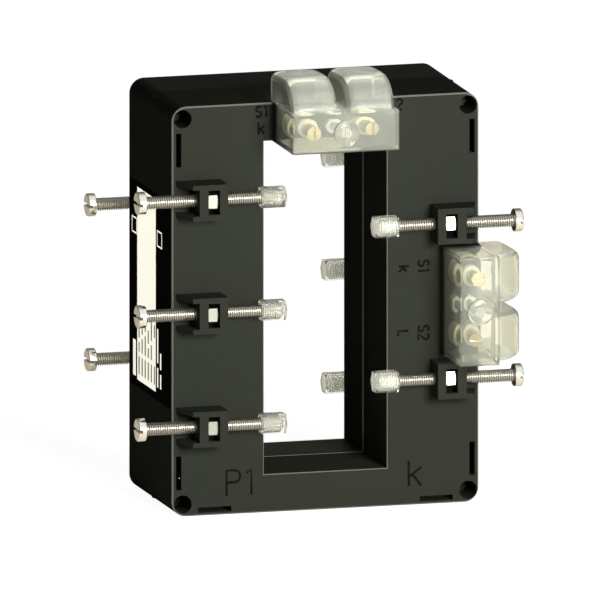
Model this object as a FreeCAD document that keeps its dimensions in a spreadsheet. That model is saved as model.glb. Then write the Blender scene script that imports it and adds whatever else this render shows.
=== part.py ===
# Window type current transformer with ten clamp screws and two sealed secondary terminals
#
# Frame: millimetres, +Z up, front towards -Y, +X to the right. The origin is the middle of the
# bottom face. The two case halves meet at a seam behind the middle. Each clamp is drawn once in
# its own frame (X outwards from the window, -Y out of the case's face, Z along the window's side)
# and each terminal in another (X along the terminal, -Y out of the case's face, Z over the edge).

import FreeCAD, Part
import math
import os
import Sketcher

Vector = FreeCAD.Vector
Rotation = FreeCAD.Rotation
Placement = FreeCAD.Placement

SIZES = (
    # The window and the case round it
    ("window_width", 38.5),
    ("window_height", 102.4),
    ("frame_side", 28.75),
    ("frame_end", 11.75),
    ("case_depth", 49.3),
    ("front_depth", 27.1),
    ("case_corner", 4.5),
    ("case_bevel", 0.45),
    ("case_wall", 2.0),
    ("window_wall", 1.8),
    ("window_bevel", 0.25),
    ("lip_height", 2.0),
    ("lip_gap", 0.1),
    # The screws that join the halves, deep in the corner recesses
    ("recess_side", 3.35),
    ("recess_end", 3.75),
    ("recess_radius", 2.8),
    ("recess_depth", 13.0),
    ("recess_wall", 1.4),
    ("joint_screw_radius", 1.5),
    ("joint_screw_length", 25.0),
    ("joint_head_radius", 2.6),
    ("joint_head_height", 2.0),
    # The slots that take plug-in feet
    ("slot_width", 1.65),
    ("slot_length", 10.4),
    ("slot_depth", 6.0),
    ("slot_side", 2.1),
    ("slot_foot", 1.75),
    ("slot_run", 13.35),
    # The clamp brackets
    ("bracket_setback", 13.55),
    ("bracket_length", 8.95),
    ("bracket_height", 11.0),
    ("bracket_rise", 9.0),
    ("flange_wall", 1.45),
    ("flange_reach", 2.05),
    ("flange_foot", 5.15),
    ("tongue_length", 10.2),
    ("tongue_width", 1.45),
    ("tongue_depth", 1.8),
    ("tongue_inset", 0.9),
    ("tongue_fit", 0.1),
    ("trio_spacing", 34.8),
    ("pair_spacing", 47.6),
    # The nuts, screws and caps of the clamps
    ("nut_across", 7.0),
    ("nut_height", 3.2),
    ("nut_setback", 2.6),
    ("nut_play", 0.2),
    ("nut_window", 7.5),
    ("screw_rise", 4.0),
    ("screw_radius", 2.0),
    ("screw_length", 42.2),
    ("screw_play", 0.25),
    ("thread_gap", 0.05),
    ("head_radius", 3.5),
    ("head_height", 2.5),
    ("head_slot", 1.0),
    ("head_slot_depth", 1.1),
    ("clamp_reach", 5.45),
    ("cap_length", 7.7),
    ("cap_across", 6.1),
    ("cap_floor", 1.6),
    ("cap_bevel", 0.5),
    # The terminal blocks and what stands on them
    ("unit_length", 33.2),
    ("unit_width", 11.8),
    ("block_rise", 4.4),
    ("side_shift", 0.4),
    ("terminal_spacing", 19.6),
    ("terminal_drop", 5.8),
    ("insert_radius", 2.2),
    ("insert_reach", 2.75),
    ("insert_fit", 0.05),
    ("collar_radius", 3.6),
    ("collar_length", 7.3),
    ("terminal_shank", 1.5),
    ("terminal_head", 2.2),
    ("long_screw", 18.3),
    ("short_screw", 14.6),
    ("post_across", 5.3),
    ("post_length", 4.3),
    ("seal_radius", 4.0),
    ("seal_height", 1.5),
    ("seal_shank", 1.6),
    ("seal_slot", 1.2),
    # The clear covers
    ("cover_depth", 19.75),
    ("cover_ledge", 0.45),
    ("cover_wall", 1.2),
    ("cover_edge", 0.4),
    ("hood_width", 14.9),
    ("hood_gap", 3.0),
    ("hood_rise", 9.85),
    ("hood_rear_rise", 9.15),
    ("hood_back", 2.5),
    ("hood_brow", 10.2),
    ("hood_round", 11.0),
    ("hood_edge", 2.8),
    # The core, its bobbins and coils
    ("core_play", 1.175),
    ("core_setback", 9.15),
    ("core_bend", 2.8),
    ("bobbin_end", 8.375),
    ("bobbin_wall", 1.0),
    ("bobbin_play", 0.3),
    ("flange_thickness", 1.5),
    ("flange_rim", 0.3),
    ("coil_play", 0.55),
    ("coil_corner", 4.0),
    # The leads inside the case
    ("wire_radius", 0.8),
    ("wire_offset", 4.0),
    # The label on the left side
    ("label_height", 63.0),
    ("label_margin", 1.5),
    ("label_lift", 1.5),
    ("label_film", 0.2),
)

document = FreeCAD.newDocument("CurrentTransformer")
sheet = document.addObject("Spreadsheet::Sheet", "Sizes")
for row, (alias, number) in enumerate(SIZES, start=1):
    sheet.set(f"A{row}", alias.replace("_", " "))
    sheet.set(f"B{row}", str(number))
    sheet.setAlias(f"B{row}", alias)
document.recompute()


class Size:
    """A size from the sheet, or a sum, product or quotient of such sizes.

    It holds the formula that an object's property is bound to, and its value now.
    """

    def __init__(self, formula, value):
        self.formula = formula
        self.value = value

    @staticmethod
    def of(other):
        return other if isinstance(other, Size) else Size(repr(float(other)), float(other))

    def __add__(self, other):
        other = Size.of(other)
        return Size(f"({self.formula} + {other.formula})", self.value + other.value)

    def __sub__(self, other):
        other = Size.of(other)
        return Size(f"({self.formula} - {other.formula})", self.value - other.value)

    def __mul__(self, other):
        other = Size.of(other)
        return Size(f"({self.formula} * {other.formula})", self.value * other.value)

    def __truediv__(self, other):
        other = Size.of(other)
        return Size(f"({self.formula} / {other.formula})", self.value / other.value)

    def __neg__(self):
        return Size(f"(0 - {self.formula})", -self.value)

    def __rsub__(self, other):
        return Size.of(other) - self

    __radd__ = __add__
    __rmul__ = __mul__


class Dimensions:
    """The sheet's sizes by name."""

    def __getattr__(self, alias):
        return Size(f"Sizes.{alias}", float(sheet.get(alias)))


d = Dimensions()
pieces = []

# Places that several pieces share
case_width = d.window_width + d.frame_side * 2
case_height = d.window_height + d.frame_end * 2
half_width = case_width / 2
half_height = case_height / 2
half_depth = d.case_depth / 2
half_window = d.window_width / 2
seam = d.front_depth - half_depth
screw_x = half_width - d.recess_side
screw_z = half_height - d.recess_end
bracket_start = half_window + d.bracket_setback
bracket_end = bracket_start + d.bracket_length
nut_slot = d.nut_height + d.nut_play * 2
nut_corner = d.nut_across / math.sqrt(3)
cap_end = half_window - d.clamp_reach
screw_tip = cap_end + d.cap_floor + d.thread_gap * 2
terminal_x = d.terminal_spacing / 2
side_edge = half_width - d.side_shift
insert_x = side_edge - d.terminal_drop
frame_space = d.frame_end - d.case_wall - d.window_wall
core_build = frame_space - d.core_play * 2
core_depth = d.case_depth - d.core_setback * 2
core_bar = d.window_height / 2 + d.window_wall + frame_space / 2
tube_half_x = core_build / 2 + d.bobbin_play + d.bobbin_wall
tube_half_y = core_depth / 2 + d.bobbin_play + d.bobbin_wall
flange_inner = half_window + d.window_wall + d.bobbin_play
coil_space = insert_x - d.insert_radius - d.coil_play - flange_inner - d.flange_rim
coil_build = coil_space / 2 - tube_half_x
flange_half_x = tube_half_x + coil_build + d.flange_rim
leg_x = flange_inner + flange_half_x
bobbin_length = (core_bar - core_build / 2 - d.bobbin_end) * 2
coil_half_length = bobbin_length / 2 - d.flange_thickness
wire_plane = tube_half_y + coil_build / 2


def bind(item, name, size):
    """Bind a property to a formula of the sheet."""
    item.setExpression(name, Size.of(size).formula)


def put(item, x=0, y=0, z=0, rotation=Rotation()):
    """Turn an object, and bind its place to the sheet."""
    item.Placement = Placement(Vector(0, 0, 0), rotation)
    for axis, size in zip("xyz", (x, y, z)):
        bind(item, f".Placement.Base.{axis}", size)
    return item


def piece(item, label):
    """Name a finished sub-part and keep it for the files."""
    item.Label = label
    pieces.append(item)
    return item


# Sketches and the features of a body


def new_body(label):
    return piece(document.addObject("PartDesign::Body", label), label)


def sketch(body, role, offset=0, shift_x=0, shift_y=0):
    """An empty sketch on one of the body's own origin planes, moved along the plane's normal."""
    plane = next(f for f in body.Origin.OriginFeatures if f.Role == role)
    drawing = body.newObject("Sketcher::SketchObject", "Sketch")
    drawing.AttachmentSupport = [(plane, "")]
    drawing.MapMode = "FlatFace"
    for axis, size in zip("xyz", (shift_x, shift_y, offset)):
        bind(drawing, f".AttachmentOffset.Base.{axis}", size)
    return drawing


def fix(drawing, edge, end, x, y):
    """Hold one point of a sketch at a place bound to the sheet."""
    for kind, size in (("DistanceX", Size.of(x)), ("DistanceY", Size.of(y))):
        number = drawing.addConstraint(Sketcher.Constraint(kind, -1, 1, edge, end, size.value))
        drawing.setExpression(f"Constraints[{number}]", size.formula)


def line(drawing, points):
    """Straight sides from point to point, each corner bound to the sheet."""
    points = [(Size.of(x), Size.of(y)) for x, y in points]
    edges = []
    for (x, y), (far_x, far_y) in zip(points, points[1:]):
        side = Part.LineSegment(Vector(x.value, y.value, 0), Vector(far_x.value, far_y.value, 0))
        edges.append(drawing.addGeometry(side, False))
    for edge, following in zip(edges, edges[1:]):
        drawing.addConstraint(Sketcher.Constraint("Coincident", edge, 2, following, 1))
    for edge, (x, y) in zip(edges, points):
        fix(drawing, edge, 1, x, y)
    fix(drawing, edges[-1], 2, *points[-1])
    return drawing


def outline(drawing, points):
    """A closed outline, drawn counter-clockwise where a point has the radius of an arc from it."""
    points = [[Size.of(size) for size in point] for point in points]
    first = drawing.GeometryCount
    count = len(points)
    for i, (x, y, *radius) in enumerate(points):
        far_x, far_y = points[(i + 1) % count][:2]
        start, end = Vector(x.value, y.value, 0), Vector(far_x.value, far_y.value, 0)
        if not radius:
            drawing.addGeometry(Part.LineSegment(start, end), False)
            continue
        chord = end - start
        height = radius[0].value - math.sqrt(radius[0].value ** 2 - (chord.Length / 2) ** 2)
        outwards = Vector(chord.y, -chord.x, 0).normalize()
        drawing.addGeometry(Part.Arc(start, (start + end) / 2 + outwards * height, end), False)
    for i in range(count):
        following = first + (i + 1) % count
        drawing.addConstraint(Sketcher.Constraint("Coincident", first + i, 2, following, 1))
    for i, (x, y, *radius) in enumerate(points):
        fix(drawing, first + i, 1, x, y)
        if radius:
            number = drawing.addConstraint(Sketcher.Constraint("Radius", first + i, radius[0].value))
            drawing.setExpression(f"Constraints[{number}]", radius[0].formula)
    return drawing


def rectangle(drawing, width, height, x=0, y=0):
    """A rectangle round a centre."""
    width, height, x, y = (Size.of(size) for size in (width, height, x, y))
    left, right = x - width / 2, x + width / 2
    low, high = y - height / 2, y + height / 2
    return outline(drawing, [(left, low), (right, low), (right, high), (left, high)])


def circle(drawing, radius, x=0, y=0):
    """A circle round a centre."""
    radius, x, y = Size.of(radius), Size.of(x), Size.of(y)
    centre = Vector(x.value, y.value, 0)
    edge = drawing.addGeometry(Part.Circle(centre, Vector(0, 0, 1), radius.value), False)
    fix(drawing, edge, 3, x, y)
    number = drawing.addConstraint(Sketcher.Constraint("Radius", edge, radius.value))
    drawing.setExpression(f"Constraints[{number}]", radius.formula)
    return drawing


def pad(drawing, length, backwards=False, both_ways=False):
    """Pad a sketch along its normal, or against it, or half each way."""
    feature = drawing.getParentGeoFeatureGroup().newObject("PartDesign::Pad", "Pad")
    feature.Profile = drawing
    feature.Reversed = backwards
    feature.Midplane = both_ways
    bind(feature, "Length", length)
    return feature


def pocket(drawing, length, forwards=False):
    """Cut a sketch against its normal, or along it."""
    feature = drawing.getParentGeoFeatureGroup().newObject("PartDesign::Pocket", "Pocket")
    feature.Profile = drawing
    feature.Reversed = forwards
    bind(feature, "Length", length)
    return feature


def edges_where(feature, test):
    """Names of a feature's edges whose bounding boxes pass the test."""
    document.recompute()
    edges = enumerate(feature.Shape.Edges, start=1)
    return [f"Edge{number}" for number, edge in edges if test(edge.BoundBox)]


def soften(feature, kind, size_name, size, test):
    """Fillet or chamfer the edges of a body that pass the test."""
    names = edges_where(feature, test)
    softened = feature.getParentGeoFeatureGroup().newObject(f"PartDesign::{kind}", kind)
    softened.Base = (feature, names)
    setattr(softened, size_name, Size.of(size).value)
    bind(softened, size_name, size)
    return softened


def fillet(feature, radius, test):
    return soften(feature, "Fillet", "Radius", radius, test)


def chamfer(feature, size, test):
    return soften(feature, "Chamfer", "Size", size, test)


def near(a, b):
    return abs(a - b) < 1e-4


# Part primitives and booleans


def box(width, depth, height, x, y, z):
    """A box with its low corner at x, y, z."""
    item = document.addObject("Part::Box", "Box")
    for name, size in (("Length", width), ("Width", depth), ("Height", height)):
        bind(item, name, size)
    return put(item, x, y, z)


def rod(radius, length, x, y, z, rotation=Rotation()):
    """A cylinder from x, y, z along the turned Z axis."""
    item = document.addObject("Part::Cylinder", "Rod")
    bind(item, "Radius", radius)
    bind(item, "Height", length)
    return put(item, x, y, z, rotation)


def hexagon(across, length, x, y, z, rotation=Rotation()):
    """A hexagonal bar from x, y, z along the turned Z axis, measured across its flats."""
    item = document.addObject("Part::Prism", "Hexagon")
    item.Polygon = 6
    bind(item, "Circumradius", across / math.sqrt(3))
    bind(item, "Height", length)
    return put(item, x, y, z, rotation)


def fuse(*items):
    joined = document.addObject("Part::MultiFuse", "Fusion")
    joined.Shapes = list(items)
    joined.Refine = True
    return joined


def cut(base, *tools):
    whole = document.addObject("Part::Cut", "Cut")
    whole.Base = base
    whole.Tool = tools[0] if len(tools) == 1 else fuse(*tools)
    return whole


def group(label, items):
    """Several separate solids of one kind as one sub-part."""
    compound = document.addObject("Part::Compound", label)
    compound.Links = items
    return piece(compound, label)


OUT = Rotation(Vector(1, 0, 0), 90)
ALONG = Rotation(Vector(0, 1, 0), 90)

# The clamps: name, side of the window, front or rear face, height from the middle
TRIO = (("top", 1), ("middle", 0), ("bottom", -1))
PAIR = (("top", 0.5), ("bottom", -0.5))
CLAMPS = tuple(
    [(f"front_left_{name}", -1, 1, d.trio_spacing * step) for name, step in TRIO]
    + [(f"front_right_{name}", 1, 1, d.pair_spacing * step) for name, step in PAIR]
    + [(f"rear_left_{name}", -1, -1, d.pair_spacing * step) for name, step in PAIR]
    + [(f"rear_right_{name}", 1, -1, d.trio_spacing * step) for name, step in TRIO]
)
QUARTERS = {
    (1, 1): Rotation(),
    (-1, 1): Rotation(Vector(0, 1, 0), 180),
    (-1, -1): Rotation(Vector(0, 0, 1), 180),
    (1, -1): Rotation(Vector(1, 0, 0), 180),
}
TONGUES = (
    bracket_start + d.tongue_inset + d.tongue_width / 2,
    bracket_end - d.tongue_inset - d.tongue_width / 2,
)


def seat_clamp(item, side, face, rise):
    """Put a piece drawn in the clamps' frame at one of the ten places."""
    return put(item, 0, half_depth * -face, half_height + rise, QUARTERS[side, face])


# The terminals: name, place of the edge they hang over, and their turn
UNITS = {
    "top": (0, case_height, Rotation()),
    "side": (side_edge, half_height, ALONG),
}


def seat_unit(item, unit):
    """Put a piece drawn in the terminals' frame at the top or at the right side."""
    x, z, rotation = UNITS[unit]
    return put(item, x, -half_depth, z, rotation)


# The two halves of the case


def cavity_outline():
    """The space between the outer wall and the window, with a solid block in each corner."""
    wide, high = half_width - d.case_wall, half_height - d.case_wall
    notch_x = screw_x - d.recess_radius - d.recess_wall
    notch_z = screw_z - d.recess_radius - d.recess_wall
    quarter = [(wide, notch_z), (notch_x, notch_z), (notch_x, high)]
    left = [(-x, z) for x, z in reversed(quarter)]
    upper = quarter + left
    return upper + [(x, -z) for x, z in reversed(upper)]


def case_half(label, depth, has_recesses):
    """One half of the case, from its seam at Y 0 to its outer face at minus depth."""
    body = new_body(label)
    shell = pad(rectangle(sketch(body, "XZ_Plane"), case_width, case_height), depth)
    shell = fillet(shell, d.case_corner, lambda b: near(b.XLength, 0) and near(b.ZLength, 0))
    chamfer(shell, d.case_bevel, lambda b: near(b.YMin, -depth.value) and near(b.YMax, b.YMin))

    cavity = outline(sketch(body, "XZ_Plane"), cavity_outline())
    tube_width = d.window_width + d.window_wall * 2
    tube_height = d.window_height + d.window_wall * 2
    pocket(rectangle(cavity, tube_width, tube_height), depth - d.case_wall, forwards=True)
    window = rectangle(sketch(body, "XZ_Plane"), d.window_width, d.window_height)
    shell = pocket(window, depth + 1, forwards=True)
    half_rise = d.window_height / 2

    def is_window_rim(b):
        on_face = near(b.YMin, -depth.value) and near(b.YMax, b.YMin)
        across = near(b.XMax - b.XMin, d.window_width.value) and near(abs(b.ZMin), half_rise.value)
        upright = near(b.ZMax - b.ZMin, d.window_height.value) and near(abs(b.XMin), half_window.value)
        return on_face and (across or upright)

    chamfer(shell, d.window_bevel, is_window_rim)

    # A lip on one half stands in a rebate of the other, halfway through the wall
    half_wall = d.case_wall / 2
    if has_recesses:
        outer, inner, height = half_wall, d.case_wall + d.lip_gap, d.lip_height
    else:
        outer, inner, height = half_wall + d.lip_gap, d.case_wall, d.lip_height - d.lip_gap
    ring = sketch(body, "XZ_Plane")
    rectangle(ring, case_width - outer * 2, case_height - outer * 2)
    rectangle(ring, case_width - inner * 2, case_height - inner * 2)
    if has_recesses:
        pocket(ring, height, forwards=True)
    else:
        pad(ring, height, backwards=True)

    corners = [(screw_x * sx, screw_z * sz) for sx in (-1, 1) for sz in (-1, 1)]
    bores = sketch(body, "XZ_Plane", -d.lip_height)
    for x, z in corners:
        circle(bores, d.joint_screw_radius + d.thread_gap, x, z)
    if has_recesses:
        pocket(bores, d.lip_height + depth + 1, forwards=True)
        recesses = sketch(body, "XZ_Plane", depth)
        for x, z in corners:
            circle(recesses, d.recess_radius, x, z)
        pocket(recesses, d.recess_depth)
    else:
        reach = d.recess_depth + d.joint_screw_length - d.front_depth + d.lip_gap * 5
        pocket(bores, d.lip_height + reach, forwards=True)

    slots = sketch(body, "XZ_Plane", depth)
    for side in (-1, 1):
        for end in (-1, 1):
            x, z = (half_width - d.slot_side) * side, (half_height - d.slot_run) * end
            rectangle(slots, d.slot_width, d.slot_length, x, z)
        x, z = (half_width - d.slot_run) * side, d.slot_foot - half_height
        rectangle(slots, d.slot_length, d.slot_width, x, z)
    pocket(slots, d.slot_depth)

    # Each half has the front face's pattern, because the rear half is turned about the vertical
    seats = sketch(body, "XZ_Plane", depth)
    for _, side, face, rise in CLAMPS:
        if face == 1:
            for x in TONGUES:
                width = d.tongue_width + d.tongue_fit * 2
                rectangle(seats, width, d.tongue_length + d.tongue_fit * 2, x * side, rise)
    pocket(seats, d.case_wall)
    return body


def case():
    front = case_half("front_case", d.front_depth, True)
    put(front, 0, seam, half_height)
    holes = sketch(front, "XZ_Plane", d.front_depth)
    for step in (-1, 1):
        circle(holes, d.insert_radius + d.insert_fit, terminal_x * step, half_height - d.terminal_drop)
        circle(holes, d.insert_radius + d.insert_fit, side_edge - d.terminal_drop, terminal_x * step)
    pocket(holes, d.case_wall)
    rear = case_half("rear_case", d.case_depth - d.front_depth, False)
    put(rear, 0, seam, half_height, Rotation(Vector(0, 0, 1), 180))


def joint_screws():
    """Four screws up from the floors of the recesses into the rear half."""
    floor = d.recess_depth - half_depth
    screws = []
    for sx in (-1, 1):
        for sz in (-1, 1):
            x, z = screw_x * sx, half_height + screw_z * sz
            shank = rod(d.joint_screw_radius, d.joint_screw_length, x, floor + d.joint_screw_length, z, OUT)
            head = rod(d.joint_head_radius, d.joint_head_height, x, floor, z, OUT)
            slot_y = floor - d.joint_head_height - 1
            arm = d.joint_head_radius
            slot = box(arm * 2, d.head_slot + 1, d.head_slot * 0.7, x - arm, slot_y, z - d.head_slot * 0.35)
            screws.append(cut(fuse(shank, head), slot))
    group("case_screws", screws)


# The clamps


def bracket(label, side, face, rise):
    """A plug-in block: two sloping flanges, a pocket and a window for the nut, two tongues."""
    body = new_body(f"{label}_bracket")
    profile = [
        (bracket_start, 0),
        (bracket_start, -d.bracket_rise),
        (bracket_end + d.flange_reach, -d.bracket_rise),
        (bracket_end + d.flange_foot, 0),
    ]
    pad(outline(sketch(body, "XY_Plane"), profile), d.bracket_height, both_ways=True)
    notch = sketch(body, "XZ_Plane")
    open_height = d.bracket_height - d.flange_wall * 2
    rectangle(notch, d.flange_foot, open_height, bracket_end + d.flange_foot / 2, 0)
    pocket(notch, d.bracket_rise + 1, forwards=True)
    nut_x = bracket_start + d.nut_setback + nut_slot / 2
    nut_pocket = rectangle(sketch(body, "XZ_Plane"), nut_slot, (nut_corner + d.nut_play) * 2, nut_x, 0)
    pocket(nut_pocket, d.screw_rise + d.nut_across / 2 + d.nut_play, forwards=True)
    window = rectangle(sketch(body, "XZ_Plane"), nut_slot, d.nut_window, nut_x, 0)
    pocket(window, d.bracket_rise + 1, forwards=True)
    bore = circle(sketch(body, "YZ_Plane", bracket_start - 1), d.screw_radius + d.screw_play, -d.screw_rise, 0)
    pocket(bore, d.bracket_length + 2, forwards=True)
    tongues = sketch(body, "XZ_Plane")
    for x in TONGUES:
        rectangle(tongues, d.tongue_width, d.tongue_length, x, 0)
    pad(tongues, d.tongue_depth, backwards=True)
    seat_clamp(body, side, face, rise)


def nut(side, face, rise):
    """A hexagonal nut in its pocket."""
    start = bracket_start + d.nut_setback + d.nut_play
    bar = hexagon(d.nut_across, d.nut_height, start, -d.screw_rise, 0, ALONG)
    bore = rod(d.screw_radius + d.thread_gap, d.nut_height + 2, start - 1, -d.screw_rise, 0, ALONG)
    return seat_clamp(cut(bar, bore), side, face, rise)


def clamp_screw(label, side, face, rise):
    """A long slotted cheese head screw; its fine thread is left to the finish."""
    body = new_body(f"{label}_screw")
    under = screw_tip + d.screw_length
    outer = under + d.head_height
    profile = [
        (screw_tip, 0),
        (screw_tip, d.screw_radius),
        (under, d.screw_radius),
        (under, d.head_radius),
        (outer, d.head_radius),
        (outer, 0),
    ]
    drawing = outline(sketch(body, "XY_Plane", shift_y=-d.screw_rise), profile)
    turned = body.newObject("PartDesign::Revolution", "Turned")
    turned.Profile = drawing
    turned.ReferenceAxis = (drawing, ["H_Axis"])
    slot = rectangle(sketch(body, "YZ_Plane", outer), d.head_radius * 2 + 1, d.head_slot, -d.screw_rise, 0)
    pocket(slot, d.head_slot_depth)
    seat_clamp(body, side, face, rise)


def clamp_cap(label, side, face, rise):
    """A clear hexagonal cap on the screw's tip, its corners up and down."""
    body = new_body(f"{label}_cap")
    corner = d.cap_across / math.sqrt(3)
    turns = [math.radians(30 + 60 * step) for step in range(6)]
    points = [(corner * math.cos(a) - d.screw_rise, corner * math.sin(a)) for a in turns]
    bar = pad(outline(sketch(body, "YZ_Plane", cap_end), points), d.cap_length)
    chamfer(bar, d.cap_bevel, lambda b: near(b.XLength, 0))
    bore = circle(
        sketch(body, "YZ_Plane", cap_end + d.cap_length), d.screw_radius + d.thread_gap, -d.screw_rise, 0
    )
    pocket(bore, d.cap_length - d.cap_floor)
    seat_clamp(body, side, face, rise)


def clamps():
    for clamp in CLAMPS:
        bracket(*clamp)
        clamp_screw(*clamp)
        clamp_cap(*clamp)
    group("clamp_nuts", [nut(*clamp[1:]) for clamp in CLAMPS])


# The terminals


def terminal_block(unit):
    """The black base on the case's face, bored for the two inserts."""
    body = new_body(f"{unit}_terminal_block")
    base = rectangle(sketch(body, "XZ_Plane"), d.unit_length, d.unit_width, 0, -d.unit_width / 2)
    pad(base, d.block_rise)
    bores = sketch(body, "XZ_Plane", d.block_rise)
    for step in (-1, 1):
        circle(bores, d.insert_radius + d.insert_fit, terminal_x * step, -d.terminal_drop)
    pocket(bores, d.block_rise + 1)
    seat_unit(body, unit)


def hood_sketch(body, middle, inset):
    """A hood's side outline, drawn inwards by the inset, on a plane across the terminal.

    Its top is a long flat arc up to the brow, and a quarter circle goes down from there.
    """
    run, drop = d.hood_back + d.hood_brow, d.hood_rise - d.hood_rear_rise
    top_radius = (run * run + drop * drop) / (drop * 2)
    floor = d.hood_rise - d.hood_round
    points = [
        (d.hood_back, d.cover_ledge),
        (d.hood_back, d.hood_rear_rise - inset, top_radius),
        (-d.hood_brow, d.hood_rise - inset, d.hood_round - inset),
        (inset - d.hood_brow - d.hood_round, floor),
        (-d.block_rise, floor),
        (-d.block_rise, d.cover_ledge),
    ]
    return outline(sketch(body, "YZ_Plane", middle), points)


def terminal_cover(unit):
    """A clear box over the terminals with two domed hoods, open to the rear for the wires."""
    body = new_body(f"{unit}_terminal_cover")
    wall = d.cover_wall
    width = d.unit_width + d.cover_ledge
    middle_z = d.cover_ledge - width / 2
    front = d.block_rise + d.cover_depth
    drawing = rectangle(sketch(body, "XZ_Plane", d.block_rise), d.unit_length, width, 0, middle_z)
    shell = pad(drawing, d.cover_depth)
    front_y = -front.value
    shell = chamfer(shell, d.cover_edge, lambda b: near(b.YMin, front_y) and near(b.YMax, front_y))
    hood_middle = (d.hood_gap + d.hood_width) / 2
    none = Size.of(0)
    for step in (-1, 1):
        shell = pad(hood_sketch(body, hood_middle * step, none), d.hood_width, both_ways=True)

    ledge = d.cover_ledge.value
    faces = [(hood_middle.value + d.hood_width.value / 2 * s) * t for s in (-1, 1) for t in (-1, 1)]

    def is_hood_rim(b):
        on_side = near(b.XLength, 0) and any(near(b.XMin, x) for x in faces)
        return on_side and b.ZMax > ledge + 1 and not near(b.YMin, d.hood_back.value)

    shell = fillet(shell, d.hood_edge, is_hood_rim)
    room = sketch(body, "XZ_Plane", d.block_rise)
    rectangle(room, d.unit_length - wall * 2, width - wall * 2, 0, middle_z)
    pocket(room, d.cover_depth - wall, forwards=True)
    for step in (-1, 1):
        inside = hood_sketch(body, hood_middle * step, wall)
        hollow = pocket(inside, d.hood_width - wall * 2)
        hollow.Midplane = True
    hole = circle(sketch(body, "XZ_Plane", front), d.seal_shank + d.thread_gap, 0, -d.terminal_drop)
    pocket(hole, wall * 2)
    seat_unit(body, unit)


def slotted_screw(unit, shank_radius, head_radius, tail, collar, end, slot_width, x):
    """A slotted screw along -Y: thin from the tail to the collar, thick from there to its end."""
    shank = rod(shank_radius, collar - tail, x, -tail, -d.terminal_drop, OUT)
    head = rod(head_radius, end - collar, x, -collar, -d.terminal_drop, OUT)
    arm = head_radius + 1
    slot = box(
        slot_width, d.head_slot_depth + 1, arm * 2, x - slot_width / 2, -end - 1, -d.terminal_drop - arm
    )
    return seat_unit(cut(fuse(shank, head), slot), unit)


def terminal_fittings(unit):
    """What stands on a block: two screws with collars, and the post of the sealing screw."""
    screws = []
    collar_end = d.block_rise + d.collar_length
    for name, step, length in (("s1", -1, d.long_screw), ("s2", 1, d.short_screw)):
        x = terminal_x * step
        ring = rod(d.collar_radius, d.collar_length, x, -d.block_rise, -d.terminal_drop, OUT)
        bore = rod(
            d.terminal_shank + d.thread_gap, d.collar_length + 2, x, 1 - d.block_rise, -d.terminal_drop, OUT
        )
        seat_unit(piece(cut(ring, bore), f"{unit}_{name}_collar"), unit)
        radii = (d.terminal_shank, d.terminal_head)
        end = d.block_rise + length
        screws.append(slotted_screw(unit, *radii, -d.case_wall, collar_end, end, d.head_slot, x))

    post = hexagon(d.post_across, d.post_length, 0, -d.block_rise, -d.terminal_drop, OUT)
    bore = rod(
        d.seal_shank + d.thread_gap, d.post_length + 2, 0, 1 - d.block_rise, -d.terminal_drop, OUT
    )
    seat_unit(piece(cut(post, bore), f"{unit}_cover_post"), unit)
    front = d.block_rise + d.cover_depth
    tail = d.block_rise + d.seal_height / 2
    end = front + d.seal_height
    screw = slotted_screw(unit, d.seal_shank, d.seal_radius, tail, front, end, d.seal_slot, 0)
    piece(screw, f"{unit}_cover_screw")
    return screws


def terminal_inserts():
    """Four brass inserts through the blocks and the front wall."""
    inserts = []
    for unit in UNITS:
        for step in (-1, 1):
            x = terminal_x * step
            reach = d.case_wall + d.insert_reach
            length = reach + d.block_rise
            sleeve = rod(d.insert_radius, length, x, reach, -d.terminal_drop, OUT)
            bore = rod(d.terminal_shank + d.thread_gap, length, x, reach - 1, -d.terminal_drop, OUT)
            inserts.append(seat_unit(cut(sleeve, bore), unit))
    group("terminal_inserts", inserts)


def terminals():
    screws = []
    for unit in UNITS:
        terminal_block(unit)
        terminal_cover(unit)
        screws += terminal_fittings(unit)
    group("terminal_screws", screws)
    terminal_inserts()


# The core and the secondary


def core():
    """The strip-wound ring round the window."""
    body = new_body("core")
    ring = sketch(body, "XZ_Plane", -core_depth / 2)
    rectangle(ring, (leg_x + core_build / 2) * 2, (core_bar + core_build / 2) * 2)
    shape = pad(ring, core_depth)
    shape = fillet(shape, d.core_bend + core_build, lambda b: near(b.XLength, 0) and near(b.ZLength, 0))
    hole = sketch(body, "XZ_Plane", -core_depth / 2)
    rectangle(hole, (leg_x - core_build / 2) * 2, (core_bar - core_build / 2) * 2)
    shape = pocket(hole, core_depth, forwards=True)
    inner = (leg_x - core_build / 2).value
    fillet(
        shape,
        d.core_bend,
        lambda b: near(b.XLength, 0) and near(b.ZLength, 0) and near(abs(b.XMin), inner),
    )
    put(body, 0, 0, half_height)


def bobbin(label, side):
    """A square tube round one leg of the core, with a flange at each end."""
    body = new_body(label)
    half = bobbin_length / 2
    flange_y = (half_depth - d.case_wall - d.bobbin_play) * 2
    tube = rectangle(sketch(body, "XY_Plane"), tube_half_x * 2, tube_half_y * 2)
    pad(tube, bobbin_length, both_ways=True)
    for end in (-1, 1):
        flange = sketch(body, "XY_Plane", (half - d.flange_thickness / 2) * end)
        pad(rectangle(flange, flange_half_x * 2, flange_y), d.flange_thickness, both_ways=True)
    hole = sketch(body, "XY_Plane", -half - 1)
    play = d.bobbin_play * 2
    pocket(rectangle(hole, core_build + play, core_depth + play), bobbin_length + 2, forwards=True)
    passage = sketch(body, "XY_Plane", -half - 1)
    circle(passage, d.wire_radius + d.insert_fit, d.wire_offset * -side, -wire_plane)
    pocket(passage, bobbin_length + 2, forwards=True)
    put(body, leg_x * side, 0, half_height)


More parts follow.
